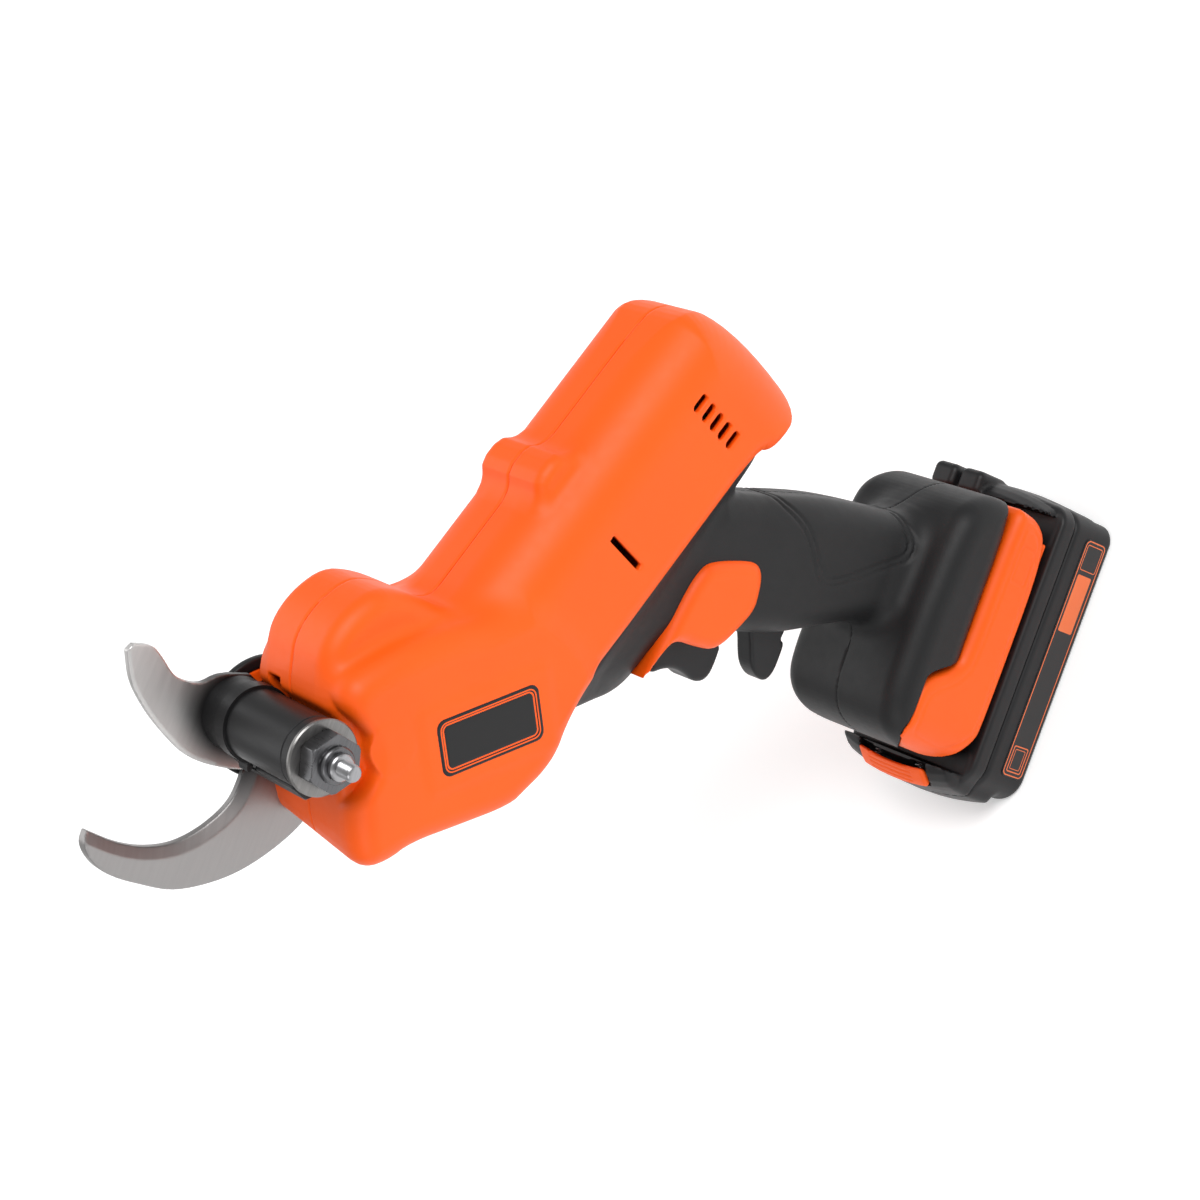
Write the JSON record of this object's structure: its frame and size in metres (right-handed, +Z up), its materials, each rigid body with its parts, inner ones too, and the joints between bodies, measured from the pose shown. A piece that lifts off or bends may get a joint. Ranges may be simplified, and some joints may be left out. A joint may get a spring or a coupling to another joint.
{
  "type": "battery electric pruner",
  "caption": "Hand-held battery pruner with a swinging hooked blade, a fixed hook jaw, a pistol grip with trigger, and a slide-on battery foot it stands on.",
  "frame": {"origin": "centre of the pack's bottom face, between its rear and front rows of screws", "axes": "+X forward towards the jaws' mouth, +Y towards the pivot nut (the tool's left), +Z up"},
  "size_m": [0.2704, 0.0955, 0.4002],
  "materials": {
    "orange_shell": "satin moulded orange",
    "black_shell": "fine-grained black plastic and rubber",
    "badge": "blank satin black plate",
    "blade_steel": "ground steel, warm grey",
    "dark_hub": "black oxide steel",
    "orange_cap": "satin moulded orange",
    "fastener_steel": "dark plated steel",
    "gear_steel": "hardened steel",
    "motor_steel": "drawn steel",
    "motor_plastic": "glass-filled nylon",
    "copper": "enamelled copper on laminated steel",
    "magnet": "plated magnet",
    "trigger_plastic": "satin black plastic",
    "switch_plastic": "black nylon",
    "spring_steel": "spring wire",
    "board": "circuit board",
    "capacitor": "sleeved can",
    "pack_plastic": "fine-grained black plastic",
    "latch_plastic": "satin moulded orange",
    "label": "printed film with plain blocks",
    "cell_wrap": "shrink sleeve",
    "holder_plastic": "black nylon",
    "contact_metal": "sprung copper alloy"
  },
  "bodies": {
    "housing": {"barrel_shell_left": "orange_shell", "barrel_shell_right": "orange_shell", "badge_plate": "badge", "handle_shell_left": "black_shell", "handle_shell_right": "black_shell", "bezel_left": "orange_shell", "bezel_right": "orange_shell", "foot_collar": "orange_shell", "housing_screws": "fastener_steel", "counter_blade": "blade_steel", "jaw_bracket": "dark_hub", "guard_ring": "dark_hub", "guard_cap": "orange_cap", "pivot_bolt": "fastener_steel", "pivot_nut": "fastener_steel", "pivot_washer": "fastener_steel", "thrust_washer": "fastener_steel", "motor_can": "motor_steel", "motor_end_bell": "motor_plastic", "motor_bearing_front": "motor_steel", "motor_bearing_rear": "motor_steel", "stator_core": "copper", "ring_gear": "gear_steel", "gearbox_case": "motor_steel", "output_bearing": "motor_steel", "nose_bearing": "motor_steel", "switch_module": "switch_plastic", "lock_pin": "spring_steel", "control_board": "board", "board_capacitors": "capacitor", "terminal_block": "switch_plastic"},
    "blade": {"cutting_blade": "blade_steel", "pivot_sleeve": "dark_hub", "sector_gear": "gear_steel"},
    "cross": {"cross_shaft": "gear_steel", "bevel_gear": "gear_steel", "sector_pinion": "gear_steel"},
    "carrier": {"planet_carrier": "gear_steel", "output_shaft": "gear_steel", "bevel_pinion": "gear_steel"},
    "rotor": {"motor_shaft": "gear_steel", "rotor_magnet": "magnet", "cooling_fan": "motor_plastic", "sun_pinion": "gear_steel"},
    "planet_1": {"planet_gear_1": "gear_steel"},
    "planet_2": {"planet_gear_2": "gear_steel"},
    "planet_3": {"planet_gear_3": "gear_steel"},
    "trigger": {"trigger": "trigger_plastic", "trigger_spring": "spring_steel"},
    "lock_lever": {"lock_lever": "trigger_plastic"},
    "battery": {"battery_bottom_case": "pack_plastic", "battery_top_case": "pack_plastic", "battery_label": "label", "battery_cells": "cell_wrap", "cell_holders": "holder_plastic", "battery_board": "board", "battery_contacts": "contact_metal", "battery_screws": "fastener_steel"},
    "latch": {"battery_latch": "latch_plastic", "latch_springs": "spring_steel"}
  },
  "joints": [
    {"name": "blade_swing", "type": "hinge", "parent": "housing", "child": "blade", "pos_m": [0.12258, 0, 0.34815], "axis": [0, 1, 0], "range_deg": [0, 95]},
    {"name": "cross_spin", "type": "hinge", "parent": "housing", "child": "cross", "pos_m": [0.1133, 0, 0.3212], "axis": [0, 1, 0], "range_deg": [-131.12, 0.5]},
    {"name": "carrier_spin", "type": "hinge", "parent": "housing", "child": "carrier", "pos_m": [0.06298, 0, 0.28853], "axis": [0.8387, 0, 0.5446], "range_deg": [-262.25, 1]},
    {"name": "rotor_spin", "type": "hinge", "parent": "housing", "child": "rotor", "pos_m": [-0.0125, 0, 0.23951], "axis": [0.8387, 0, 0.5446], "range_deg": [-1049, 4]},
    {"name": "planet_1_spin", "type": "hinge", "parent": "carrier", "child": "planet_1", "pos_m": [0.01769, 0.009, 0.25911], "axis": [0.8387, 0, 0.5446], "range_deg": [-3, 786.75]},
    {"name": "planet_2_spin", "type": "hinge", "parent": "carrier", "child": "planet_2", "pos_m": [0.01344, -0.0045, 0.26565], "axis": [0.8387, 0, 0.5446], "range_deg": [-3, 786.75]},
    {"name": "planet_3_spin", "type": "hinge", "parent": "carrier", "child": "planet_3", "pos_m": [0.02193, -0.0045, 0.25258], "axis": [0.8387, 0, 0.5446], "range_deg": [-3, 786.75]},
    {"name": "trigger_pull", "type": "slide", "parent": "housing", "child": "trigger", "axis": [-1, 0, 0], "range_m": [0, 0.006], "stiffness_N_per_m": 900, "springref_m": -0.006, "deforming": ["trigger_spring"]},
    {"name": "lever_press", "type": "hinge", "parent": "housing", "child": "lock_lever", "pos_m": [0.023, 0, 0.147], "axis": [0, 1, 0], "range_deg": [0, 10], "stiffness_Nm_per_rad": 0.35, "springref_deg": -6.88},
    {"name": "battery_slide", "type": "slide", "parent": "housing", "child": "battery", "axis": [1, 0, 0], "range_m": [0, 0.12]},
    {"name": "latch_push", "type": "slide", "parent": "battery", "child": "latch", "axis": [-1, 0, 0], "range_m": [0, 0.0025], "stiffness_N_per_m": 1500, "springref_m": -0.003, "deforming": ["latch_springs"]}
  ],
  "couplings": [
    {"joint": "cross_spin", "follows": "blade_swing", "ratio": -1.375},
    {"joint": "carrier_spin", "follows": "blade_swing", "ratio": -2.75},
    {"joint": "rotor_spin", "follows": "blade_swing", "ratio": -11},
    {"joint": "planet_1_spin", "follows": "blade_swing", "ratio": 8.25},
    {"joint": "planet_2_spin", "follows": "blade_swing", "ratio": 8.25},
    {"joint": "planet_3_spin", "follows": "blade_swing", "ratio": 8.25}
  ]
}
